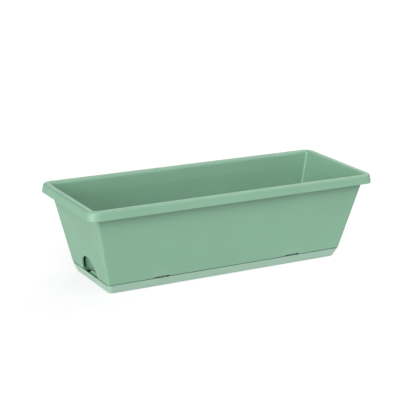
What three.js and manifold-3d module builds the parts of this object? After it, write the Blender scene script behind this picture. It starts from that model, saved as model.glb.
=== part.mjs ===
// Self-watering planter trough: a tapered planting trough that stands on a shallow water tray,
// with two perforated soil grids and four wicking baskets that hang down into the water.
// Millimetres, +Z up, origin on the ground under the middle of the tray, length along X.
import * as THREE from "three";
import { mergeVertices } from "three/addons/utils/BufferGeometryUtils.js";
import Module from "manifold-3d";

const wasm = await Module();
wasm.setup();

// ---- Driving dimensions ----
const LENGTH = 500; // over the rim
const WIDTH = 186; // over the rim
const HEIGHT = 140.5;
const GAP = 0.3; // between pieces that rest on each other

// Rim: a flat top, a skirt that turns down and flares out, and a hollow underside.
const RIM_DROP = 14;
const RIM_FLARE = 1.7;
const RIM_OVERHANG = 11; // along the sides
const END_OVERHANG = 12.8; // at the two ends
const RIM_RADIUS = 16;
const RIM_THICKNESS = 2.4;
const RIM_EDGE = 3.7; // rounded outer edge
const LIP_EDGE = 6; // rounded inner edge

// Trough wall at the seam with the tray, where it is narrowest.
const SEAM_Z = 15.8;
const SEAM_LENGTH = 415.4;
const SEAM_WIDTH = 128.4;
const SEAM_EDGE = 1.2; // rounded edge that sits on the tray
const WALL = 2.5;
const CORNER_RADIUS = 4.5;
const BAND_Z = 118; // the inside face leans out a little more above this height
const BAND_WALL = 2.9;
const LIP_WALL = 1.9;

// Trough floor and the short skirt that nests inside the tray.
const FLOOR_Z = 21;
const FLOOR = 2.4;
const DRAIN_RADIUS = 3.5;
const DRAIN_Y = 50;
const NEST_Z = 12;
const NEST_CLEARANCE = 0.5;
const NEST_WALL = 2.1;
const NEST_RADIUS = 6;

// Water tray.
const TRAY_HEIGHT = 15.3;
const TRAY_BASE_LENGTH = 404.4;
const TRAY_BASE_WIDTH = 117;
const TRAY_PROUD = 0.4; // how far its lip stands out past the trough
const TRAY_WALL = 2.2;
const LIP_SLOPE = 1.6; // how far its lip falls towards the inside
const TRAY_EDGE = 3.6; // rounded bottom edge
const TRAY_RADIUS = 7;
const POST_RADIUS = 5;
const POST_X = 105;
const POST_Y = 47;

// Locating tongues of the tray and the notches they stand in.
const NOTCH_X = 117;
const NOTCH_LENGTH = 28;
const NOTCH_HEIGHT = 1.8;
const TONGUE_LENGTH = 22;
const TONGUE_THICKNESS = 1.8;
const TONGUE_ROOT = 2.6; // where it grows out of the tray's side
const TONGUE_TOP = 19;
const TONGUE_CLEARANCE = 3.2; // to the inside face of the trough wall

// Filling mouth in each end wall, and the pocket behind it that leads down into the tray.
const MOUTH_HALF_WIDTH = 25.5;
const MOUTH_HEIGHT = 28;
const MOUTH_OFFSET = 3.5; // off the middle, to opposite sides at the two ends
const POCKET_DEPTH = 6.2; // from the end wall's outer face to the pocket's back plate
const POCKET_HALF_WIDTH = 48;
const POCKET_TOP = 48;
const POCKET_WALL = 2.2;
const SPOUT_Z = 10.5; // lower edge of the back plate
const SPOUT_HALF_WIDTH = 26; // bell-shaped gap in that edge
const SPOUT_HEIGHT = 10.6;
const SPOUT_OFFSET = 8;

// Wicking baskets and the holes they hang in.
const BASKET_X = [-157.5, -52.5, 52.5, 157.5];
const BASKET_TOP_RADIUS = 21.4;
const BASKET_BASE_RADIUS = 16.5;
const BASKET_BASE_Z = 4.2;
const BASKET_WALL = 1.6;
const BASKET_FLANGE = 4.6;
const BASKET_FLANGE_THICKNESS = 1.8;
const BASKET_SLOTS = 8;
const BASKET_SLOT = { width: 3.2, height: 18, z: 18.5 };
const BASKET_DRAIN_RADIUS = 3;
const GRID_HOLE_RADIUS = 22;
const FLOOR_HOLE_RADIUS = 21;

// Soil grids.
const GRID_Z = 32;
const GRID_THICKNESS = 2.5;
const GRID_SIDE_CLEARANCE = 2.2;
const GRID_END_CLEARANCE = 1.5;
const GRID_MIDDLE_GAP = 1.2;
const GRID_SKIRT = 4;
const GRID_SKIRT_WALL = 1.8;
const GRID_RADIUS = 8;
const GRID_FOOT_RADIUS = 4;
const GRID_SLOT = { width: 3.4, length: 15, pitchX: 14, pitchY: 23 };

// ---- Outlines that change with height ----
const SKIRT_Z = HEIGHT - RIM_DROP;
const wallTop = { x: LENGTH / 2 - RIM_FLARE - END_OVERHANG, y: WIDTH / 2 - RIM_FLARE - RIM_OVERHANG };
const seam = { x: SEAM_LENGTH / 2, y: SEAM_WIDTH / 2 };
const trayBase = { x: TRAY_BASE_LENGTH / 2, y: TRAY_BASE_WIDTH / 2 };
const trayLip = { x: seam.x + TRAY_PROUD, y: seam.y + TRAY_PROUD };

// A rounded rectangle at height z between two others, moved in by inset.
function between(low, lowZ, high, highZ, z, inset, radius) {
  const t = (z - lowZ) / (highZ - lowZ);
  return {
    x: low.x + (high.x - low.x) * t - inset,
    y: low.y + (high.y - low.y) * t - inset,
    radius: Math.max(radius, 0.5),
    z,
  };
}

function wallRing(z, inset) {
  return between(seam, SEAM_Z, wallTop, SKIRT_Z, z, inset, CORNER_RADIUS - inset * 0.6);
}

function rimRing(z, inset) {
  const top = { x: LENGTH / 2 - RIM_FLARE, y: WIDTH / 2 - RIM_FLARE };
  const skirt = { x: LENGTH / 2, y: WIDTH / 2 };
  return between(skirt, SKIRT_Z, top, HEIGHT, z, inset, RIM_RADIUS - inset);
}

function trayRing(z, inset) {
  return between(trayBase, 0, trayLip, TRAY_HEIGHT, z, inset, TRAY_RADIUS - inset * 0.6);
}

// Along X: well inside each pocket, and just past its back plate below the floor.
const POCKET_INNER_X = seam.x - POCKET_DEPTH - POCKET_WALL - 8;
const PLATE_OUTER_X = seam.x - 5;
const SPOUT_STEPS = 14;

// ---- Solids ----
const CORNER_STEPS = 5;
const EASE = 0.3; // a rounded edge's middle point lies this share of its radius from both faces

function ringPoints({ x, y, radius, z }) {
  const points = [];
  for (const [sx, sy, start] of [[1, 1, 0], [-1, 1, 1], [-1, -1, 2], [1, -1, 3]]) {
    for (let i = 0; i <= CORNER_STEPS; i++) {
      const angle = ((start + i / CORNER_STEPS) * Math.PI) / 2;
      const cx = sx * (x - radius);
      const cy = sy * (y - radius);
      points.push(cx + radius * Math.cos(angle), cy + radius * Math.sin(angle), z);
    }
  }
  return points;
}

// Skin over a stack of rings. A looped stack closes on itself like a picture frame,
// and an open one, from bottom to top, is capped at both ends.
function loft(rings, looped) {
  const count = 4 * (CORNER_STEPS + 1);
  const positions = rings.flatMap(ringPoints);
  const index = [];
  const bands = looped ? rings.length : rings.length - 1;
  for (let band = 0; band < bands; band++) {
    const low = band * count;
    const high = ((band + 1) % rings.length) * count;
    for (let i = 0; i < count; i++) {
      const j = (i + 1) % count;
      index.push(low + i, low + j, high + j, low + i, high + j, high + i);
    }
  }
  if (!looped) {
    const top = (rings.length - 1) * count;
    for (let i = 1; i < count - 1; i++) {
      index.push(0, i + 1, i, top, top + i, top + i + 1);
    }
  }
  const geometry = new THREE.BufferGeometry();
  geometry.setAttribute("position", new THREE.Float32BufferAttribute(positions, 3));
  geometry.setIndex(index);
  return solid(geometry);
}

function solid(geometry) {
  const bare = geometry.clone();
  bare.deleteAttribute("normal");
  bare.deleteAttribute("uv");
  const merged = mergeVertices(bare, 1e-4);
  const vertProperties = merged.attributes.position.array;
  const triVerts = new Uint32Array(merged.index.array);
  return new wasm.Manifold(new wasm.Mesh({ numProp: 3, vertProperties, triVerts }));
}

function box(x0, x1, y0, y1, z0, z1) {
  const geometry = new THREE.BoxGeometry(x1 - x0, y1 - y0, z1 - z0);
  return solid(geometry.translate((x0 + x1) / 2, (y0 + y1) / 2, (z0 + z1) / 2));
}

function post(x, y, radius, z0, z1, steps = 16) {
  const geometry = new THREE.CylinderGeometry(radius, radius, z1 - z0, steps);
  return solid(geometry.rotateX(Math.PI / 2).translate(x, y, (z0 + z1) / 2));
}

// A flat shape standing in the YZ plane, pushed along X from x0 to x1.
function endShape(shape, x0, x1) {
  const options = { depth: x1 - x0, bevelEnabled: false, curveSegments: 18 };
  const geometry = new THREE.ExtrudeGeometry(shape, options);
  return solid(geometry.rotateX(Math.PI / 2).rotateZ(Math.PI / 2).translate(x0, 0, 0));
}

function meshOf(name, body, material) {
  const { vertProperties, triVerts } = body.getMesh();
  const geometry = new THREE.BufferGeometry();
  geometry.setAttribute("position", new THREE.Float32BufferAttribute(vertProperties, 3));
  geometry.setIndex([...triVerts]);
  const mesh = new THREE.Mesh(geometry, material);
  mesh.name = name;
  return mesh;
}

// ---- Trough ----
function troughShell() {
  const nest = trayRing(NEST_Z, TRAY_WALL + NEST_CLEARANCE);
  const nestRing = (z, inset) => ({
    x: nest.x - inset + (z - NEST_Z) * 0.15,
    y: nest.y - inset + (z - NEST_Z) * 0.15,
    radius: NEST_RADIUS - inset * 0.6,
    z,
  });
  const edge = SEAM_EDGE;
  const crown = HEIGHT - RIM_THICKNESS;
  return loft([
    nestRing(NEST_Z, 0),
    nestRing(SEAM_Z, 0),
    wallRing(SEAM_Z, edge),
    wallRing(SEAM_Z + edge * 0.35, edge * 0.35),
    wallRing(SEAM_Z + edge, 0),
    wallRing(SKIRT_Z, 0),
    wallRing(crown, 0),
    rimRing(crown, RIM_THICKNESS),
    rimRing(SKIRT_Z, RIM_THICKNESS),
    rimRing(SKIRT_Z, 0),
    rimRing(HEIGHT - RIM_EDGE, 0),
    rimRing(HEIGHT - RIM_EDGE * EASE, RIM_EDGE * EASE),
    rimRing(HEIGHT, RIM_EDGE),
    wallRing(HEIGHT, LIP_WALL - LIP_EDGE),
    wallRing(HEIGHT - LIP_EDGE * EASE, LIP_WALL - LIP_EDGE * EASE),
    wallRing(HEIGHT - LIP_EDGE, LIP_WALL),
    wallRing(BAND_Z, BAND_WALL),
    wallRing(FLOOR_Z - 1, WALL),
    nestRing(SEAM_Z + 0.7, NEST_WALL),
    nestRing(NEST_Z, NEST_WALL),
  ], true);
}

// What lies between two depths behind the trough wall's outer face.
function wallSlab(z0, z1, outer, inner) {
  const slab = loft([wallRing(z0, outer), wallRing(z1, outer)], false);
  return slab.subtract(loft([wallRing(z0 - 1, inner), wallRing(z1 + 1, inner)], false));
}

// A box at one end; x0 and x1 are measured outwards from the middle.
function endBox(side, x0, x1, halfWidth, z0, z1) {
  const [a, b] = side < 0 ? [-x1, -x0] : [x0, x1];
  return box(a, b, -halfWidth, halfWidth, z0, z1);
}

// The moulded shell that stands in from an end wall behind the filling mouth. It slopes like
// the wall, and runs on down below the floor as a plain plate.
function pocketShell(side) {
  const half = POCKET_HALF_WIDTH + POCKET_WALL;
  const top = POCKET_TOP + POCKET_WALL;
  const slab = wallSlab(SPOUT_Z - 1, top + 1, 1, POCKET_DEPTH + POCKET_WALL);
  const shell = endBox(side, POCKET_INNER_X, LENGTH / 2, half, SPOUT_Z, top).intersect(slab);
  return shell.subtract(endBox(side, PLATE_OUTER_X, LENGTH / 2, half + 1, SPOUT_Z - 1, FLOOR_Z + 0.5));
}

function pocketHollow(side) {
  const slab = wallSlab(SEAM_Z, POCKET_TOP + 1, WALL, POCKET_DEPTH);
  const hollow = endBox(side, POCKET_INNER_X, LENGTH / 2, POCKET_HALF_WIDTH, SEAM_Z + 1.5, POCKET_TOP);
  return hollow.intersect(slab);
}

function fillingMouth(side) {
  const shape = new THREE.Shape();
  const y = side * MOUTH_OFFSET;
  shape.moveTo(y + MOUTH_HALF_WIDTH, NEST_Z - 2);
  shape.lineTo(y + MOUTH_HALF_WIDTH, SEAM_Z);
  shape.absellipse(y, SEAM_Z, MOUTH_HALF_WIDTH, MOUTH_HEIGHT, 0, Math.PI, false, 0);
  shape.lineTo(y - MOUTH_HALF_WIDTH, NEST_Z - 2);
  const span = side < 0 ? [-LENGTH / 2, -POCKET_INNER_X] : [POCKET_INNER_X, LENGTH / 2];
  return endShape(shape, ...span).intersect(wallSlab(NEST_Z - 3, POCKET_TOP, -1, POCKET_DEPTH - 0.05));
}

// The bell-shaped gap in the back plate's lower edge, where the water runs into the tray.
function spout(side) {
  const shape = new THREE.Shape();
  const middle = side * SPOUT_OFFSET;
  const low = SPOUT_Z - 2;
  shape.moveTo(middle + SPOUT_HALF_WIDTH, low);
  for (let i = 0; i <= SPOUT_STEPS; i++) {
    const t = 1 - (2 * i) / SPOUT_STEPS;
    const z = SPOUT_Z - 0.5 + SPOUT_HEIGHT * (0.5 + 0.5 * Math.cos(Math.PI * t));
    shape.lineTo(middle + t * SPOUT_HALF_WIDTH, z);
  }
  shape.lineTo(middle - SPOUT_HALF_WIDTH, low);
  const far = PLATE_OUTER_X + 5;
  return endShape(shape, ...(side < 0 ? [-far, -POCKET_INNER_X] : [POCKET_INNER_X, far]));
}

// A slot under the wall's lower edge, and behind it the room that a tray tongue stands in.
function seamNotch(x, side) {
  const half = NOTCH_LENGTH / 2;
  const low = NEST_Z - 2;
  const span = (near, far) => (side < 0 ? [-far, -near] : [near, far]);
  const slot = box(x - half, x + half, ...span(seam.y - 9, seam.y + 4), low, SEAM_Z + NOTCH_HEIGHT);
  return slot.add(box(x - half, x + half, ...span(seam.y - 9, seam.y - WALL), low, FLOOR_Z - 0.5));
}

// The floor's round holes: one for each basket, and a drain hole on each side of it.
function floorHoles() {
  const [z0, z1] = [FLOOR_Z - 2, FLOOR_Z + FLOOR + 2];
  return BASKET_X.flatMap((x) => [
    post(x, 0, FLOOR_HOLE_RADIUS, z0, z1, 28),
    post(x, -DRAIN_Y, DRAIN_RADIUS, z0, z1, 10),
    post(x, DRAIN_Y, DRAIN_RADIUS, z0, z1, 10),
  ]);
}

function trough() {
  let body = troughShell().add(
    loft([wallRing(FLOOR_Z, 1.2), wallRing(FLOOR_Z + FLOOR, 1.2)], false)
  );
  for (const side of [-1, 1]) {
    body = body.add(pocketShell(side)).subtract(pocketHollow(side));
    body = body.subtract(fillingMouth(side)).subtract(spout(side));
    for (const x of [-NOTCH_X, NOTCH_X]) body = body.subtract(seamNotch(x, side));
  }
  for (const hole of floorHoles()) body = body.subtract(hole);
  return body;
}

// ---- Tray ----
function tray() {
  const edge = TRAY_EDGE;
  const outside = loft([
    trayRing(0, edge),
    trayRing(edge * 0.12, edge * 0.5),
    trayRing(edge * 0.5, edge * 0.12),
    trayRing(edge, 0),
    trayRing(TRAY_HEIGHT - 0.6, 0),
    trayRing(TRAY_HEIGHT, 0.6),
  ], false);
  const inside = loft([
    trayRing(TRAY_WALL, TRAY_WALL + 1.6),
    trayRing(TRAY_WALL + 1.6, TRAY_WALL),
    trayRing(TRAY_HEIGHT - LIP_SLOPE, TRAY_WALL),
    trayRing(TRAY_HEIGHT, 0.9),
    trayRing(TRAY_HEIGHT + 1, 0.9),
  ], false);
  let body = outside.subtract(inside);
  for (const x of [-POST_X, 0, POST_X]) {
    for (const y of [-POST_Y, POST_Y]) {
      body = body.add(post(x, y, POST_RADIUS, TRAY_WALL - 1, FLOOR_Z - GAP, 14));
    }
  }
  const face = seam.y - WALL - TONGUE_CLEARANCE;
  const half = TONGUE_LENGTH / 2;
  for (const x of [-NOTCH_X, NOTCH_X]) {
    for (const side of [-1, 1]) {
      const [y0, y1] = side < 0 ? [-face, TONGUE_THICKNESS - face] : [face - TONGUE_THICKNESS, face];
      body = body.add(box(x - half, x + half, y0, y1, TONGUE_ROOT, TONGUE_TOP));
    }
  }
  return body;
}

// ---- Soil grids ----
function gridPanel(side) {
  const near = GRID_MIDDLE_GAP / 2;
  const far = seam.x - POCKET_DEPTH - POCKET_WALL - GRID_END_CLEARANCE;
  const halfWidth = wallRing(GRID_Z - GRID_SKIRT, WALL).y - GRID_SIDE_CLEARANCE;
  const middle = (side * (near + far)) / 2;
  const halfLength = (far - near) / 2;
  const ring = (z, inset) => ({
    x: halfLength - inset,
    y: halfWidth - inset,
    radius: GRID_RADIUS - inset,
    z,
  });
  const skirtZ = GRID_Z - GRID_SKIRT;
  let body = loft([ring(skirtZ, 0), ring(GRID_Z + GRID_THICKNESS, 0)], false);
  body = body.subtract(loft([ring(skirtZ - 1, GRID_SKIRT_WALL), ring(GRID_Z, GRID_SKIRT_WALL)], false));
  const foot = { x: halfLength - 7, y: halfWidth - 7 };
  for (const sx of [-1, 1]) {
    for (const sy of [-1, 1]) {
      const low = FLOOR_Z + FLOOR + GAP;
      body = body.add(post(sx * foot.x, sy * foot.y, GRID_FOOT_RADIUS, low, GRID_Z + 1, 12));
    }
  }
  const holes = BASKET_X.filter((x) => x * side > 0).map((x) => x - middle);
  for (const x of holes) {
    body = body.subtract(post(x, 0, GRID_HOLE_RADIUS, GRID_Z - 1, GRID_Z + GRID_THICKNESS + 1, 28));
  }
  for (const slot of gridSlots(halfLength, holes)) body = body.subtract(slot);
  const panel = meshOf(side < 0 ? "soil_grid_left" : "soil_grid_right", body, gridPlastic);
  panel.position.x = middle;
  return panel;
}

// Drainage slots in rows, left out where a basket hole or a foot is.
function gridSlots(halfLength, holes) {
  const { width, length, pitchX, pitchY } = GRID_SLOT;
  const columns = Math.floor((halfLength - 12) / pitchX);
  const slots = [];
  for (let i = -columns; i <= columns; i++) {
    for (let j = -2; j <= 2; j++) {
      const x = i * pitchX;
      const y = j * pitchY;
      const reach = GRID_HOLE_RADIUS + BASKET_FLANGE + 2;
      const blocked = holes.some((hole) => {
        const dx = Math.max(0, Math.abs(x - hole) - width / 2);
        const dy = Math.max(0, Math.abs(y) - length / 2);
        return Math.hypot(dx, dy) < reach;
      });
      if (blocked) continue;
      const [z0, z1] = [GRID_Z - 1, GRID_Z + GRID_THICKNESS + 1];
      slots.push(box(x - width / 2, x + width / 2, y - length / 2, y + length / 2, z0, z1));
    }
  }
  return slots;
}

// ---- Wicking baskets ----
function basket(x, number) {
  const flangeZ = GRID_Z + GRID_THICKNESS + GAP;
  const top = flangeZ + BASKET_FLANGE_THICKNESS;
  const slope = (BASKET_TOP_RADIUS - BASKET_BASE_RADIUS) / (flangeZ - BASKET_BASE_Z);
  const innerTop = BASKET_TOP_RADIUS - BASKET_WALL + slope * BASKET_FLANGE_THICKNESS;
  const floorTop = BASKET_BASE_Z + BASKET_WALL;
  const profile = [
    [0, BASKET_BASE_Z],
    [BASKET_BASE_RADIUS - 1, BASKET_BASE_Z],
    [BASKET_BASE_RADIUS, BASKET_BASE_Z + 1],
    [BASKET_TOP_RADIUS, flangeZ],
    [BASKET_TOP_RADIUS + BASKET_FLANGE, flangeZ],
    [BASKET_TOP_RADIUS + BASKET_FLANGE, top],
    [innerTop, top],
    [BASKET_BASE_RADIUS - BASKET_WALL + slope * BASKET_WALL, floorTop],
    [0, floorTop],
  ].map(([r, z]) => new THREE.Vector2(r, z));
  let body = solid(new THREE.LatheGeometry(profile, 24).rotateX(Math.PI / 2));
  const near = BASKET_BASE_RADIUS / 2;
  const far = BASKET_TOP_RADIUS + 1;
  for (let i = 0; i < BASKET_SLOTS; i++) {
    const slot = new THREE.BoxGeometry(far - near, BASKET_SLOT.width, BASKET_SLOT.height);
    slot.translate((far + near) / 2, 0, BASKET_SLOT.z);
    body = body.subtract(solid(slot.rotateZ((2 * Math.PI * (i + 0.5)) / BASKET_SLOTS)));
  }
  body = body.subtract(post(0, 0, BASKET_DRAIN_RADIUS, BASKET_BASE_Z - 1, floorTop + 1, 12));
  const mesh = meshOf(`wicking_basket_${number}`, body, basketPlastic);
  mesh.position.x = x;
  return mesh;
}

// ---- Materials and assembly ----
const plastic = (color, roughness) => new THREE.MeshStandardMaterial({ color, roughness, metalness: 0 });
const troughPlastic = plastic(0x86b196, 0.55);
const trayPlastic = plastic(0x9fbfac, 0.55);
const gridPlastic = plastic(0x7f9a88, 0.6);
const basketPlastic = plastic(0x6f8577, 0.6);

const planter = new THREE.Group();
planter.add(meshOf("water_tray", tray(), trayPlastic));
planter.add(meshOf("planter_trough", trough(), troughPlastic));
planter.add(gridPanel(-1), gridPanel(1));
BASKET_X.forEach((x, i) => planter.add(basket(x, i + 1)));

export default planter;
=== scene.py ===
# Self-watering planter trough: the visible model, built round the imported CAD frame. Metres, +Z up.
import math

import bmesh
import bpy
import numpy as np
from mathutils import Matrix, Vector


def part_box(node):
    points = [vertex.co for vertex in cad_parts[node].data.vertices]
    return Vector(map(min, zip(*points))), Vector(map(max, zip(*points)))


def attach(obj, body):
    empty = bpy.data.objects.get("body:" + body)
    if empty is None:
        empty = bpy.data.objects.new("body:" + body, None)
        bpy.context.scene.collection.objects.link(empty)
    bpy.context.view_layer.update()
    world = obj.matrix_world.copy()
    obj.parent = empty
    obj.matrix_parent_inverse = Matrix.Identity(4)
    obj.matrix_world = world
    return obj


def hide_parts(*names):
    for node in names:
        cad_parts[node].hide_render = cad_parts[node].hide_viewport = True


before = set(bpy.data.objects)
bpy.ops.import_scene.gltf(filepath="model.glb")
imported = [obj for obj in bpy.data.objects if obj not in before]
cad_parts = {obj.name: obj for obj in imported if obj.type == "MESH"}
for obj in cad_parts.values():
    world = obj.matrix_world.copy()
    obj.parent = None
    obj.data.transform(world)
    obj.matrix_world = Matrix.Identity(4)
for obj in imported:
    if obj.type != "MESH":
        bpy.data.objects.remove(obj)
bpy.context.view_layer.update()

MM = 0.001

# ---- Driving dimensions, in millimetres. Sizes over all come from the frame. ----
low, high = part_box("planter_trough")
LENGTH = (high.x - low.x) / MM
WIDTH = (high.y - low.y) / MM
HEIGHT = high.z / MM
NEST_Z = 12

RIM_DROP = 14
RIM_FLARE = 1.7
RIM_OVERHANG = 11
END_OVERHANG = 12.8
RIM_RADIUS = 16
RIM_THICKNESS = 2.4
RIM_ROUND = 4.2
LIP_ROUND = 7.2

SEAM_Z = 15.8
SEAM_LENGTH = 415.4
SEAM_WIDTH = 128.4
SEAM_ROUND = 0.5
WALL = 2.5
CORNER_RADIUS = 4.5
BAND_Z = 118
BAND_WALL = 2.9
LIP_WALL = 1.9

FLOOR_Z = 21
FLOOR_TOP = 23.4
DRAIN_RADIUS = 3.5
DRAIN_Y = 50
NEST_CLEARANCE = 0.5
NEST_WALL = 2.1
NEST_RADIUS = 6
NEST_DRAFT = 0.15

TRAY_HEIGHT = 15.3
TRAY_BASE_LENGTH = 404.4
TRAY_BASE_WIDTH = 117
TRAY_PROUD = 0.4
TRAY_WALL = 2.2
LIP_SLOPE = 1.6
TRAY_EDGE = 4.2
TRAY_RADIUS = 7
POST_RADIUS = 5
POST_X = 105
POST_Y = 47
POST_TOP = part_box("water_tray")[1].z / MM

NOTCH_X = 117
NOTCH_LENGTH = 28
NOTCH_HEIGHT = 1.8
TONGUE_LENGTH = 22
TONGUE_THICKNESS = 1.8
TONGUE_ROOT = 2.6
TONGUE_TOP = 19
TONGUE_CLEARANCE = 3.2

MOUTH_HALF_WIDTH = 25.5
MOUTH_HEIGHT = 28
MOUTH_OFFSET = 3.5
MOUTH_EDGE = 0.5
POCKET_DEPTH = 6.2
POCKET_HALF_WIDTH = 48
POCKET_TOP = 48
POCKET_WALL = 2.2
SPOUT_HALF_WIDTH = 26
SPOUT_HEIGHT = 10.6
SPOUT_Z = 10.5
SPOUT_OFFSET = 8

BASKETS = {f"wicking_basket_{i}": f"basket_{i}" for i in (1, 2, 3, 4)}
BASKET_TOP_RADIUS = 21.4
BASKET_BASE_RADIUS = 16.5
BASKET_BASE_Z = 4.2
BASKET_WALL = 1.6
BASKET_FLANGE = 4.6
BASKET_FLANGE_Z = 34.8
BASKET_TOP = 36.6
BASKET_SLOTS = 8
BASKET_SLOT_WIDTH = 3.2
BASKET_SLOT_BOTTOM = 9.5
BASKET_SLOT_TOP = 27.5
BASKET_DRAIN_RADIUS = 3
BASKET_HOLE_RADIUS = 1.6
BASKET_HOLES = 6
BASKET_HOLE_RING = 9
GRID_HOLE_RADIUS = 22
FLOOR_HOLE_RADIUS = 21

GRIDS = {"soil_grid_left": "grid_left", "soil_grid_right": "grid_right"}
GRID_Z = 32
GRID_TOP = 34.5
GRID_SKIRT = 4
GRID_SKIRT_WALL = 1.8
GRID_RADIUS = 8
GRID_FOOT_RADIUS = 4
GRID_FOOT_INSET = 7
GRID_SLOT_WIDTH = 3.4
GRID_SLOT_LENGTH = 15
GRID_PITCH_X = 14
GRID_PITCH_Y = 23

SEAM_X = SEAM_LENGTH / 2
SEAM_Y = SEAM_WIDTH / 2
SKIRT_Z = HEIGHT - RIM_DROP
END_SPAN = (185, 235)  # along X, from well inside an end wall to well outside it
PLATE_OUTER_X = SEAM_X - 5
CAP_INSET = 12  # where the rings of a flat face stop and one flat cap closes it


# ---- Rings: rounded rectangles as arrays (half length, half width, corner radius, height) ----
def between(low_half, low_z, high_half, high_z, z, inset, radius):
    t = (z - low_z) / (high_z - low_z)
    x = low_half[0] + (high_half[0] - low_half[0]) * t - inset
    y = low_half[1] + (high_half[1] - low_half[1]) * t - inset
    return np.array([x, y, max(radius, 0.5), z], float)


def wall_ring(z, inset=0.0):
    top = (LENGTH / 2 - RIM_FLARE - END_OVERHANG, WIDTH / 2 - RIM_FLARE - RIM_OVERHANG)
    return between((SEAM_X, SEAM_Y), SEAM_Z, top, SKIRT_Z, z, inset, CORNER_RADIUS - inset * 0.6)


def rim_ring(z, inset=0.0):
    top = (LENGTH / 2 - RIM_FLARE, WIDTH / 2 - RIM_FLARE)
    skirt = (LENGTH / 2, WIDTH / 2)
    return between(skirt, SKIRT_Z, top, HEIGHT, z, inset, RIM_RADIUS - inset)


def tray_ring(z, inset=0.0):
    base = (TRAY_BASE_LENGTH / 2, TRAY_BASE_WIDTH / 2)
    lip = (SEAM_X + TRAY_PROUD, SEAM_Y + TRAY_PROUD)
    return between(base, 0, lip, TRAY_HEIGHT, z, inset, TRAY_RADIUS - inset * 0.6)


def nest_ring(z, inset=0.0):
    x, y, _, _ = tray_ring(NEST_Z, TRAY_WALL + NEST_CLEARANCE)
    spread = (z - NEST_Z) * NEST_DRAFT - inset
    return np.array([x + spread, y + spread, NEST_RADIUS - inset * 0.6, z], float)


def length_of(ring):
    return math.hypot(ring[0], ring[3])


def rounded(profile, steps=6):
    """The rings of a profile [(ring, edge radius), ...], with each edge turned into an arc."""
    rings = [ring for ring, _ in profile]
    sides = [b - a for a, b in zip(rings, rings[1:])]
    turns, reaches = [0.0], [0.0]
    for (_, radius), back, ahead in zip(profile[1:], sides, sides[1:]):
        cosine = (back[0] * ahead[0] + back[3] * ahead[3]) / (length_of(back) * length_of(ahead))
        turns.append(math.acos(max(-1.0, min(1.0, cosine))))
        reaches.append(radius * math.tan(turns[-1] / 2))
    turns.append(0.0)
    reaches.append(0.0)
    made = [rings[0]]
    for i in range(1, len(rings) - 1):
        limits = [reaches[i]]
        for side, other in ((sides[i - 1], reaches[i - 1]), (sides[i], reaches[i + 1])):
            limits.append(0.97 * length_of(side) * reaches[i] / max(reaches[i] + other, 1e-6))
        reach = min(limits)
        start = rings[i] - sides[i - 1] * (reach / length_of(sides[i - 1]))
        end = rings[i] + sides[i] * (reach / length_of(sides[i]))
        weight = math.cos(turns[i] / 2)
        for t in (k / steps for k in range(steps + 1)):
            a, b, c = (1 - t) ** 2, 2 * weight * t * (1 - t), t * t
            made.append((a * start + b * rings[i] + c * end) / (a + b + c))
    return made + [rings[-1]]


def divided(rings, longest=14.0):
    """The same rings with more put in where two are far apart."""
    made = [rings[0]]
    for a, b in zip(rings, rings[1:]):
        count = max(1, math.ceil(math.hypot(b[0] - a[0], b[3] - a[3]) / longest))
        made += [a + (b - a) * (i / count) for i in range(1, count + 1)]
    return made


def ring_points(ring, corner_steps=14, along=(34, 12)):
    """Points round a rounded rectangle, anticlockwise from the middle of its right side."""
    x, y, radius, z = ring
    points = []
    corners = [(1, 1, 0), (-1, 1, 1), (-1, -1, 2), (1, -1, 3)]
    for sx, sy, quarter in corners:
        for i in range(corner_steps + 1):
            angle = (quarter + i / corner_steps) * math.pi / 2
            points.append((
                sx * (x - radius) + radius * math.cos(angle),
                sy * (y - radius) + radius * math.sin(angle),
            ))
        count = along[0] if quarter % 2 == 0 else along[1]
        ax, ay = points[-1]
        bx, by = (-ax, ay) if quarter % 2 == 0 else (ax, -ay)
        points += [(ax + (bx - ax) * i / count, ay + (by - ay) * i / count) for i in range(1, count)]
    return np.array([(px, py, z) for px, py in points])


# ---- Meshes ----
def mesh_object(name, bm):
    mesh = bpy.data.meshes.new(name)
    bm.to_mesh(mesh)
    bm.free()
    obj = bpy.data.objects.new(name, mesh)
    bpy.context.scene.collection.objects.link(obj)
    return obj


def skin(name, loops):
    """A closed body through a stack of equal point loops, capped at both ends."""
    bm = bmesh.new()
    rows = [[bm.verts.new(Vector(p) * MM) for p in loop] for loop in loops]
    count = len(rows[0])
    for lower, upper in zip(rows, rows[1:]):
        for i in range(count):
            j = (i + 1) % count
            bm.faces.new((lower[i], lower[j], upper[j], upper[i]))
    bm.faces.new(rows[0][::-1])
    bm.faces.new(rows[-1])
    bmesh.ops.remove_doubles(bm, verts=bm.verts, dist=1e-7)
    bmesh.ops.recalc_face_normals(bm, faces=bm.faces)
    return mesh_object(name, bm)


def loft(name, rings, **options):
    return skin(name, [ring_points(ring, **options) for ring in rings])


def block(name, x, y, z, radius=1.0, top_round=0.8):
    """An upright box with rounded upright edges and a rounded top. x, y and z are (low, high)."""
    cx, cy = sum(x) / 2, sum(y) / 2
    half = np.array([(x[1] - x[0]) / 2, (y[1] - y[0]) / 2, radius, 0.0])
    shrink = np.array([1.0, 1.0, 0.6, 0.0])
    rings = [half + [0, 0, 0, z[0]]]
    for i in range(5):
        angle = i / 4 * math.pi / 2
        inset = top_round * (1 - math.cos(angle))
        rings.append(half - shrink * inset + [0, 0, 0, z[1] - top_round * (1 - math.sin(angle))])
    loops = [ring_points(r, 5, (1, 1)) + [cx, cy, 0] for r in rings]
    return skin(name, loops)


def lathe(name, profile, x=0.0, y=0.0, steps=64):
    """A round body from (radius, height) pairs, bottom to top."""
    angles = [2 * math.pi * i / steps for i in range(steps)]
    loops = [[(x + r * math.cos(a), y + r * math.sin(a), z) for a in angles] for r, z in profile]
    return skin(name, loops)


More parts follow.
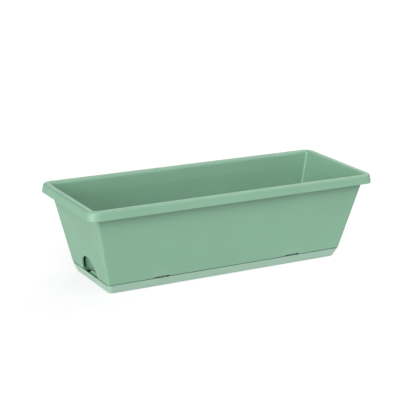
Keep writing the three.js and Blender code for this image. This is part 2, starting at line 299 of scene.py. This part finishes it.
def flare(z0, z1, edge):
    """(height, growth) pairs of a hole through a plate from z0 to z1, widening at both faces."""
    arc = [(i / 4) * math.pi / 2 for i in range(5)]
    lower = [(z0 + edge * (1 - math.cos(a)), edge * (1 - math.sin(a))) for a in arc]
    upper = [(z1 - (z - z0), g) for z, g in reversed(lower)]
    return [(z0 - 1, edge)] + lower + upper + [(z1 + 1, edge)]


def round_cutter(x, y, radius, z0, z1, edge=0.5, steps=64):
    return lathe("cutter", [(radius + g, z) for z, g in flare(z0, z1, edge)], x, y, steps)


def slot_cutter(x, y, width, length, z0, z1, edge=0.35):
    """A slot with round ends, its length along Y."""
    loops = []
    for z, g in flare(z0, z1, edge):
        r = width / 2 + g
        half = length / 2 - width / 2
        loop = []
        for centre, first in ((half, 0), (-half, math.pi)):
            for i in range(9):
                a = first + math.pi * i / 8
                loop.append((x + r * math.cos(a), y + centre + r * math.sin(a), z))
        loops.append(loop)
    return skin("cutter", loops)


def joined(objects):
    """Several separate bodies as one object."""
    bm = bmesh.new()
    for obj in objects:
        bm.from_mesh(obj.data)
        bpy.data.objects.remove(obj)
    return mesh_object("tools", bm)


def carve(obj, operation, tools):
    """Joins tools to obj, cuts them from it or keeps what they share, and removes the tools."""
    tool = joined(tools)
    modifier = obj.modifiers.new("carve", "BOOLEAN")
    modifier.operation = operation
    modifier.solver = "EXACT"
    modifier.object = tool
    bpy.context.view_layer.update()
    evaluated = obj.evaluated_get(bpy.context.evaluated_depsgraph_get())
    mesh = bpy.data.meshes.new_from_object(evaluated)
    obj.modifiers.clear()
    obj.data = mesh
    bpy.data.objects.remove(tool)
    return obj


def finished(obj, material, body, node, angle=32):
    """Shading, material and place in the frame of a finished piece."""
    mesh = obj.data
    mesh.materials.clear()
    mesh.materials.append(material)
    mesh.shade_smooth()
    mesh.set_sharp_from_angle(angle=math.radians(angle))
    weighted = obj.modifiers.new("weighted_normals", "WEIGHTED_NORMAL")
    weighted.keep_sharp = True
    weighted.weight = 80
    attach(obj, body)
    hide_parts(node)
    return obj


# ---- Trough ----
def trough_shell():
    crown = HEIGHT - RIM_THICKNESS
    profile = [
        (wall_ring(FLOOR_Z, WALL + CAP_INSET), 0),
        (wall_ring(FLOOR_Z, WALL), 1.2),
        (nest_ring(SEAM_Z + 0.7, NEST_WALL), 1.5),
        (nest_ring(NEST_Z, NEST_WALL), 0.6),
        (nest_ring(NEST_Z), 0.6),
        (nest_ring(SEAM_Z), 0.4),
        (wall_ring(SEAM_Z), SEAM_ROUND),
        (wall_ring(crown), 1.6),
        (rim_ring(crown, RIM_THICKNESS), 1.6),
        (rim_ring(SKIRT_Z, RIM_THICKNESS), 0.5),
        (rim_ring(SKIRT_Z), 0.7),
        (rim_ring(HEIGHT), RIM_ROUND),
        (wall_ring(HEIGHT, LIP_WALL), LIP_ROUND),
        (wall_ring(BAND_Z, BAND_WALL), 12),
        (wall_ring(FLOOR_TOP, WALL), 4),
        (wall_ring(FLOOR_TOP, WALL + CAP_INSET), 0),
    ]
    return loft("trough_body", divided(rounded(profile)))


def end_block(side, x, half, z, radius, top_round):
    """A box at the left or right end; x is measured outwards from the middle."""
    span = x if side > 0 else (-x[1], -x[0])
    return block("end_block", span, (-half, half), z, radius, top_round)


def wall_slab(z, outer, inner):
    """What lies between two depths behind the trough wall's outer face."""
    slab = loft("slab", [wall_ring(h, outer) for h in z])
    core = loft("core", [wall_ring(h, inner) for h in (z[0] - 1, z[1] + 1)])
    return carve(slab, "DIFFERENCE", [core])


def pocket_shell(side):
    """The moulded box that stands in from an end wall behind the filling mouth."""
    half = POCKET_HALF_WIDTH + POCKET_WALL
    shell = end_block(side, END_SPAN, half, (SPOUT_Z, POCKET_TOP + POCKET_WALL), 3, 2)
    keep = wall_slab((SPOUT_Z - 1, POCKET_TOP + 4), 1, POCKET_DEPTH + POCKET_WALL)
    carve(shell, "INTERSECT", [keep])
    outside = (PLATE_OUTER_X, END_SPAN[1])
    below = end_block(side, outside, half + 1, (SPOUT_Z - 2, FLOOR_Z + 0.5), 0.5, 0.1)
    return carve(shell, "DIFFERENCE", [below])


def pocket_hollow(side):
    """The room between the filling mouth and the pocket's back plate."""
    hollow = end_block(side, END_SPAN, POCKET_HALF_WIDTH, (SEAM_Z + 1.5, POCKET_TOP), 2.5, 2.5)
    return carve(hollow, "INTERSECT", [wall_slab((SEAM_Z, POCKET_TOP + 2), WALL, POCKET_DEPTH)])


def mouth_outline(growth, steps=40):
    """(y, z) points of the filling mouth: half an ellipse that runs on down below the seam."""
    wide, tall, low = MOUTH_HALF_WIDTH + growth, MOUTH_HEIGHT + growth, NEST_Z - 2
    arc = [math.pi * i / steps for i in range(steps + 1)]
    points = [(wide, low), (wide, (low + SEAM_Z) / 2)]
    points += [(wide * math.cos(a), SEAM_Z + tall * math.sin(a)) for a in arc]
    return points + [(-wide, (low + SEAM_Z) / 2), (-wide, low)]


def spout_outline(growth, steps=40):
    """(y, z) points of the bell-shaped gap under the pocket's back plate."""
    wide, tall, low = SPOUT_HALF_WIDTH + growth, SPOUT_HEIGHT + growth, SPOUT_Z - 3
    points = [(wide, low)]
    for i in range(steps + 1):
        y = wide * (1 - 2 * i / steps)
        points.append((y, SPOUT_Z - 0.5 + tall * (0.5 + 0.5 * math.cos(math.pi * y / wide))))
    return points + [(-wide, low)]


def wall_x(z):
    return wall_ring(max(z, SEAM_Z))[0]


def cut_at_end(side, outline, steps, offset):
    """A cutter that follows the end wall's slope; steps are (depth behind the face, growth)."""
    loops = []
    for depth, growth in steps:
        points = outline(growth)
        loops.append([(side * (wall_x(z) - depth), side * (y + offset), z) for y, z in points])
    return skin("cutter", loops)


def mouth_cutter(side):
    """Cuts the filling mouth through the sloping end wall, with its edges eased."""
    edge = MOUTH_EDGE
    arc = np.linspace(0, math.pi / 2, 5)
    steps = [(-3.0, edge)] + [(edge * (1 - math.cos(a)), edge * (1 - math.sin(a))) for a in arc]
    steps += [(WALL - 0.4, 0.0), (WALL - 0.1, 0.12), (WALL, 0.4), (POCKET_DEPTH - 0.05, 0.4)]
    return cut_at_end(side, mouth_outline, steps, MOUTH_OFFSET)


def spout_cutter(side):
    """Cuts the gap under the pocket's back plate that lets the water through to the tray."""
    near, far = POCKET_DEPTH, POCKET_DEPTH + POCKET_WALL
    steps = [(near - 2, 0.3), (near, 0.3), (near + 0.4, 0)]
    steps += [(far - 0.4, 0), (far, 0.3), (far + 3, 0.3)]
    return cut_at_end(side, spout_outline, steps, SPOUT_OFFSET)


def notch_cutters(x, side):
    """The slot under the wall's lower edge, and the room behind it for a tray tongue."""
    def span(near, far):
        return (near, far) if side > 0 else (-far, -near)
    across = (x - NOTCH_LENGTH / 2, x + NOTCH_LENGTH / 2)
    under = NEST_Z - 2
    return [
        block("slot", across, span(SEAM_Y - 9, SEAM_Y + 4), (under, SEAM_Z + NOTCH_HEIGHT), 0.3, 0.3),
        block("room", across, span(SEAM_Y - 9, SEAM_Y - WALL), (under, FLOOR_Z - 0.5), 0.3, 0.3),
    ]


def make_trough():
    body = trough_shell()
    for side in (-1, 1):
        carve(body, "UNION", [pocket_shell(side)])
        carve(body, "DIFFERENCE", [pocket_hollow(side)])
        carve(body, "DIFFERENCE", [mouth_cutter(side)])
        carve(body, "DIFFERENCE", [spout_cutter(side)])
        for x in (-NOTCH_X, NOTCH_X):
            for tool in notch_cutters(x, side):
                carve(body, "DIFFERENCE", [tool])
    holes = []
    for node in BASKETS:
        x = centre_x(node)
        holes.append(round_cutter(x, 0, FLOOR_HOLE_RADIUS, FLOOR_Z, FLOOR_TOP, 0.7))
        for y in (-DRAIN_Y, DRAIN_Y):
            holes.append(round_cutter(x, y, DRAIN_RADIUS, FLOOR_Z, FLOOR_TOP, 0.5, 32))
    carve(body, "DIFFERENCE", holes)
    return body


def centre_x(node):
    lo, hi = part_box(node)
    return (lo.x + hi.x) / 2 / MM


# ---- Tray ----
def make_tray():
    profile = [
        (tray_ring(0, TRAY_EDGE + CAP_INSET), 0),
        (tray_ring(0), TRAY_EDGE),
        (tray_ring(TRAY_HEIGHT), 0.4),
        (tray_ring(TRAY_HEIGHT - LIP_SLOPE, TRAY_WALL), 0.7),
        (tray_ring(TRAY_WALL, TRAY_WALL), 2.5),
        (tray_ring(TRAY_WALL, TRAY_WALL + CAP_INSET), 0),
    ]
    body = loft("tray_body", divided(rounded(profile)))
    root = TRAY_WALL - 1
    r, top = POST_RADIUS, POST_TOP
    outline = [(r, root), (r - 0.3, top - 0.8), (r - 0.6, top - 0.2), (r - 1.1, top)]
    posts = []
    for x in (-POST_X, 0, POST_X):
        for y in (-POST_Y, POST_Y):
            posts.append(lathe("post", outline, x, y, 40))
    carve(body, "UNION", posts)
    face = SEAM_Y - WALL - TONGUE_CLEARANCE
    tongues = []
    for x in (-NOTCH_X, NOTCH_X):
        for side in (-1, 1):
            y = (face - TONGUE_THICKNESS, face) if side > 0 else (-face, TONGUE_THICKNESS - face)
            across = (x - TONGUE_LENGTH / 2, x + TONGUE_LENGTH / 2)
            tongues.append(block("tongue", across, y, (TONGUE_ROOT, TONGUE_TOP), 0.6, 0.7))
    carve(body, "UNION", tongues)
    return body


# ---- Soil grids and wicking baskets ----
def make_grid(node):
    lo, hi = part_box(node)
    middle = (lo.x + hi.x) / 2 / MM
    half = ((hi.x - lo.x) / 2 / MM, hi.y / MM)

    def grid_ring(z, inset=0.0):
        return np.array([half[0] - inset, half[1] - inset, GRID_RADIUS - inset * 0.7, z])

    profile = [
        (grid_ring(GRID_Z, GRID_SKIRT_WALL + 5), 0),
        (grid_ring(GRID_Z, GRID_SKIRT_WALL), 0.8),
        (grid_ring(GRID_Z - GRID_SKIRT, GRID_SKIRT_WALL), 0.4),
        (grid_ring(GRID_Z - GRID_SKIRT), 0.4),
        (grid_ring(GRID_TOP), 0.9),
        (grid_ring(GRID_TOP, GRID_SKIRT_WALL + 5), 0),
    ]
    loops = [ring_points(r, 10, (16, 12)) + [middle, 0, 0] for r in rounded(profile)]
    body = skin(node.replace("soil_grid", "grid_plate"), loops)
    foot_z = lo.z / MM
    feet = []
    for sx in (-1, 1):
        for sy in (-1, 1):
            x = middle + sx * (half[0] - GRID_FOOT_INSET)
            y = sy * (half[1] - GRID_FOOT_INSET)
            r = GRID_FOOT_RADIUS
            outline = [(r - 0.8, foot_z), (r - 0.3, foot_z + 0.4), (r, GRID_Z + 1)]
            feet.append(lathe("foot", outline, x, y, 32))
    carve(body, "UNION", feet)
    holes = [centre_x(b) for b in BASKETS if lo.x / MM < centre_x(b) < hi.x / MM]
    cutters = [round_cutter(x, 0, GRID_HOLE_RADIUS, GRID_Z, GRID_TOP, 0.5, 72) for x in holes]
    carve(body, "DIFFERENCE", cutters + grid_slots(middle, half[0], holes))
    return body


def grid_slots(middle, half_length, holes):
    """Cutters for rows of drainage slots, left out where a basket hangs."""
    columns = int((half_length - 12) // GRID_PITCH_X)
    reach = GRID_HOLE_RADIUS + BASKET_FLANGE + 2
    cutters = []
    for i in range(-columns, columns + 1):
        for j in range(-2, 3):
            x, y = middle + i * GRID_PITCH_X, j * GRID_PITCH_Y
            dy = max(0, abs(y) - GRID_SLOT_LENGTH / 2)
            if any(math.hypot(max(0, abs(x - h) - GRID_SLOT_WIDTH / 2), dy) < reach for h in holes):
                continue
            cutters.append(slot_cutter(x, y, GRID_SLOT_WIDTH, GRID_SLOT_LENGTH, GRID_Z, GRID_TOP))
    return cutters


def make_basket(node):
    x = centre_x(node)
    slope = (BASKET_TOP_RADIUS - BASKET_BASE_RADIUS) / (BASKET_FLANGE_Z - BASKET_BASE_Z)
    lip = BASKET_TOP_RADIUS + BASKET_FLANGE
    floor_top = BASKET_BASE_Z + BASKET_WALL
    inner_top = BASKET_TOP_RADIUS - BASKET_WALL + slope * (BASKET_TOP - BASKET_FLANGE_Z)
    inner_base = BASKET_BASE_RADIUS - BASKET_WALL + slope * BASKET_WALL
    corners = [
        (BASKET_BASE_RADIUS - 6, BASKET_BASE_Z, 0),
        (BASKET_BASE_RADIUS, BASKET_BASE_Z, 1.5),
        (BASKET_TOP_RADIUS, BASKET_FLANGE_Z, 0.5),
        (lip, BASKET_FLANGE_Z, 0.6),
        (lip, BASKET_TOP, 0.8),
        (inner_top, BASKET_TOP, 0.8),
        (inner_base, floor_top, 1.2),
        (inner_base - 6, floor_top, 0),
    ]
    profile = [(np.array([r, r, 0.0, z]), edge) for r, z, edge in corners]
    body = lathe(node.replace("wicking_", ""), [(r[0], r[3]) for r in rounded(profile, 4)], x, 0, 96)
    slots = [basket_slot(x, 2 * math.pi * (i + 0.5) / BASKET_SLOTS) for i in range(BASKET_SLOTS)]
    holes = [round_cutter(x, 0, BASKET_DRAIN_RADIUS, BASKET_BASE_Z, floor_top, 0.4, 32)]
    for i in range(BASKET_HOLES):
        a = 2 * math.pi * i / BASKET_HOLES
        hole_x, hole_y = x + BASKET_HOLE_RING * math.cos(a), BASKET_HOLE_RING * math.sin(a)
        holes.append(round_cutter(hole_x, hole_y, BASKET_HOLE_RADIUS, BASKET_BASE_Z, floor_top, 0.3, 20))
    carve(body, "DIFFERENCE", slots + holes)
    return body


def basket_slot(x, angle):
    """Cuts an upright round-ended slot through the basket's side in direction angle."""
    along = Vector((math.cos(angle), math.sin(angle)))
    across = Vector((-math.sin(angle), math.cos(angle)))
    r = BASKET_SLOT_WIDTH / 2
    loops = []
    for distance in (12, BASKET_TOP_RADIUS + 2):
        loop = []
        for centre, first in ((BASKET_SLOT_TOP - r, 0), (BASKET_SLOT_BOTTOM + r, math.pi)):
            for i in range(9):
                a = first + math.pi * i / 8
                p = along * distance + across * (r * math.cos(a))
                loop.append((x + p.x, p.y, centre + r * math.sin(a)))
        loops.append(loop)
    return skin("cutter", loops)


# ---- Materials ----
def nodes_of(material):
    material.use_nodes = True
    tree = material.node_tree
    shader = tree.nodes["Principled BSDF"]
    return tree, shader


def noise(tree, scale, detail=3.0, stretch=None, roughness=0.5):
    """A noise field in the piece's own coordinates, in cells per metre."""
    coords = tree.nodes.new("ShaderNodeTexCoord")
    mapping = tree.nodes.new("ShaderNodeMapping")
    mapping.inputs["Scale"].default_value = stretch or (1, 1, 1)
    texture = tree.nodes.new("ShaderNodeTexNoise")
    texture.inputs["Scale"].default_value = scale
    texture.inputs["Detail"].default_value = detail
    texture.inputs["Roughness"].default_value = roughness
    tree.links.new(coords.outputs["Object"], mapping.inputs["Vector"])
    tree.links.new(mapping.outputs["Vector"], texture.inputs["Vector"])
    return texture.outputs["Fac"]


def ramp(tree, value, stops):
    """Maps a value through (position, colour) stops."""
    node = tree.nodes.new("ShaderNodeValToRGB")
    elements = node.color_ramp.elements
    while len(elements) < len(stops):
        elements.new(0.5)
    for element, (position, colour) in zip(elements, stops):
        element.position = position
        element.color = (*colour, 1)
    tree.links.new(value, node.inputs["Fac"])
    return node.outputs["Color"]


def mixed(tree, kind, factor, a, b):
    node = tree.nodes.new("ShaderNodeMix")
    node.data_type = "RGBA"
    node.blend_type = kind
    if isinstance(factor, float):
        node.inputs["Factor"].default_value = factor
    else:
        tree.links.new(factor, node.inputs["Factor"])
    tree.links.new(a, node.inputs["A"])
    tree.links.new(b, node.inputs["B"])
    return node.outputs["Result"]


def reckon(tree, kind, *values):
    """One step of arithmetic on node outputs and plain numbers."""
    node = tree.nodes.new("ShaderNodeMath")
    node.operation = kind
    for socket, value in zip(node.inputs, values):
        if isinstance(value, (int, float)):
            socket.default_value = value
        else:
            tree.links.new(value, socket)
    return node.outputs["Value"]


def pocket_shade_mask(tree):
    """1 on the back plate behind a filling mouth, where shade is painted into the colour, and 0
    elsewhere. 1 on the back plate behind a filling mouth, which is guessed to be darker, and 0
    elsewhere.
    """
    coords = tree.nodes.new("ShaderNodeTexCoord")
    split = tree.nodes.new("ShaderNodeSeparateXYZ")
    tree.links.new(coords.outputs["Object"], split.inputs[0])
    x, y = (reckon(tree, "ABSOLUTE", split.outputs[axis]) for axis in "XY")
    z = split.outputs["Z"]
    lean = (wall_x(HEIGHT) - wall_x(SEAM_Z)) / (HEIGHT - SEAM_Z)
    face = reckon(tree, "MULTIPLY_ADD", z, lean, (SEAM_X - SEAM_Z * lean) * MM)
    depth = reckon(tree, "SUBTRACT", face, x)
    mask = reckon(tree, "GREATER_THAN", depth, (POCKET_DEPTH - 1.2) * MM)
    for value, limit in (
        (depth, POCKET_DEPTH + POCKET_WALL + 0.6),
        (y, POCKET_HALF_WIDTH + 0.3),
        (z, POCKET_TOP + 0.3),
    ):
        mask = reckon(tree, "MULTIPLY", mask, reckon(tree, "LESS_THAN", value, limit * MM))
    return mask


def plastic(name, colour, roughness=0.5, mottle=0.05, grain=0.06, plate=None):
    """Matte moulded plastic: cloudy pigment, fine specks, flow streaks, an eroded grain and a painted
    highlight on sharp edges.

    plate is a painted shade colour: it darkens the back plates behind the filling mouths, standing for
    the shade in their recesses.
    """
    material = bpy.data.materials.new(name)
    tree, shader = nodes_of(material)
    base = np.array(colour)
    cloud = ramp(tree, noise(tree, 14, 4), [(0.3, base * (1 - mottle)), (0.7, base * (1 + mottle))])
    grey = base.mean()
    tint = ramp(tree, noise(tree, 34, 3), [(0.35, base * 0.96 + grey * 0.04), (0.65, base)])
    body = mixed(tree, "MIX", 0.45, cloud, tint)
    speck = noise(tree, 420, 2, roughness=0.6)
    specks = ramp(tree, speck, [(0.22, (0.86, 0.86, 0.86)), (0.34, (1, 1, 1))])
    body = mixed(tree, "MULTIPLY", 0.5, body, specks)
    streak = noise(tree, 30, 2, stretch=(0.12, 0.12, 1.6))
    streaks = ramp(tree, streak, [(0.3, (0.97, 0.97, 0.97)), (0.7, (1, 1, 1))])
    body = mixed(tree, "MULTIPLY", 0.8, body, streaks)
    # Painted highlight: sharp convex edges are lightened, standing for the light they catch.
    geometry = tree.nodes.new("ShaderNodeNewGeometry")
    edge_highlight = ramp(tree, geometry.outputs["Pointiness"], [(0.5, (0, 0, 0)), (0.62, (0.16, 0.16, 0.16))])
    body = mixed(tree, "SCREEN", 0.35, body, edge_highlight)
    # Painted shade: the back plates inside the filling mouths are darkened to stand for the shade in
    # their recesses.
    if plate:
        shade = ramp(tree, pocket_shade_mask(tree), [(0.0, (1.0,) * 3), (1.0, plate)])
        body = mixed(tree, "MULTIPLY", 1.0, body, shade)
    tree.links.new(body, shader.inputs["Base Color"])
    dull = ramp(tree, noise(tree, 55, 3), [
        (0.3, (roughness - 0.05,) * 3), (0.7, (roughness + 0.06,) * 3)])
    tree.links.new(dull, shader.inputs["Roughness"])
    bump = tree.nodes.new("ShaderNodeBump")
    bump.inputs["Strength"].default_value = grain
    bump.inputs["Distance"].default_value = 0.0004
    tree.links.new(noise(tree, 1300, 2), bump.inputs["Height"])
    tree.links.new(bump.outputs["Normal"], shader.inputs["Normal"])
    shader.inputs["IOR"].default_value = 1.49
    return material


# ---- Stage, light and camera ----
def make_stage():
    bm = bmesh.new()
    bmesh.ops.create_grid(bm, x_segments=1, y_segments=1, size=6)
    floor = mesh_object("floor", bm)
    floor.location.z = -0.0002
    material = bpy.data.materials.new("pale_floor")
    tree, shader = nodes_of(material)
    shader.inputs["Base Color"].default_value = (0.25, 0.25, 0.25, 1)
    shader.inputs["Emission Color"].default_value = (1, 1, 1, 1)
    shader.inputs["Emission Strength"].default_value = 0.70
    shader.inputs["Roughness"].default_value = 0.9
    shader.inputs["Specular IOR Level"].default_value = 0.2
    floor.data.materials.append(material)


def soft_sun(name, azimuth, elevation, strength, spread=40):
    """A wide, soft studio source; azimuth 0 is straight in front of the planter."""
    data = bpy.data.lights.new(name, "SUN")
    data.energy = strength
    data.angle = math.radians(spread)
    lamp = bpy.data.objects.new(name, data)
    around, up = math.radians(azimuth), math.radians(elevation)
    towards = Vector((
        math.sin(around) * math.cos(up),
        -math.cos(around) * math.cos(up),
        math.sin(up),
    ))
    lamp.rotation_euler = towards.to_track_quat("Z", "Y").to_euler()
    bpy.context.scene.collection.objects.link(lamp)


def make_light():
    """A room that is white below and dark above, and six soft sources round the planter."""
    world = bpy.data.worlds.new("studio")
    bpy.context.scene.world = world
    world.use_nodes = True
    tree = world.node_tree
    place = tree.nodes.new("ShaderNodeTexCoord")
    split = tree.nodes.new("ShaderNodeSeparateXYZ")
    tree.links.new(place.outputs["Generated"], split.inputs[0])
    room = ramp(tree, split.outputs["Z"], [(0.1, (1.0,) * 3), (0.3, (0.0,) * 3)])
    background = tree.nodes["Background"]
    tree.links.new(room, background.inputs["Color"])
    background.inputs["Strength"].default_value = 0.6
    soft_sun("key", -30, 40, 2.0)
    soft_sun("key_right", 15, 50, 1.0)
    soft_sun("fill_low", -70, 12, 3.25, 30)
    soft_sun("fill_right", 50, 40, 0.3, 60)
    soft_sun("rim_right", 100, 40, 1.5)
    soft_sun("rim_back", 150, 30, 1.0)


def make_camera():
    """A long lens at the photograph's angle, aimed a little left of and above the middle."""
    distance = 2.047
    azimuth, elevation, roll = (math.radians(a) for a in (-30.2, 16.6, 1.5))
    back = Vector((
        math.sin(azimuth) * math.cos(elevation),
        -math.cos(azimuth) * math.cos(elevation),
        math.sin(elevation),
    ))
    right = Vector((math.cos(azimuth), math.sin(azimuth), 0))
    up = back.cross(right)
    rolled_right = right * math.cos(roll) + up * math.sin(roll)
    rolled_up = up * math.cos(roll) - right * math.sin(roll)
    target = Vector((0, 0, 0.0745)) - rolled_right * 0.0148 + rolled_up * 0.0286
    data = bpy.data.cameras.new("camera")
    data.lens = 117
    data.sensor_width = 36
    data.clip_start, data.clip_end = 0.05, 30
    camera = bpy.data.objects.new("camera", data)
    bpy.context.scene.collection.objects.link(camera)
    turn = Matrix((rolled_right, rolled_up, back)).transposed()
    camera.matrix_world = Matrix.Translation(target + back * distance) @ turn.to_4x4()
    bpy.context.scene.camera = camera


make_camera()
make_light()
make_stage()

# plate is painted shade for the back plates inside the filling mouths.
sage = plastic("sage_plastic", (0.138, 0.272, 0.183), plate=(0.45, 0.55, 0.50))
pale = plastic("pale_sage_plastic", (0.226, 0.352, 0.274))
recycled = plastic("recycled_plastic", (0.105, 0.178, 0.132), roughness=0.55, mottle=0.09)
dark = plastic("dark_plastic", (0.072, 0.119, 0.089), roughness=0.55, mottle=0.09)

finished(make_trough(), sage, "trough", "planter_trough")
finished(make_tray(), pale, "tray", "water_tray")
for grid_node, grid_body in GRIDS.items():
    finished(make_grid(grid_node), recycled, grid_body, grid_node)
for basket_node, basket_body in BASKETS.items():
    finished(make_basket(basket_node), dark, basket_body, basket_node)

bpy.context.scene.view_settings.view_transform = "Standard"
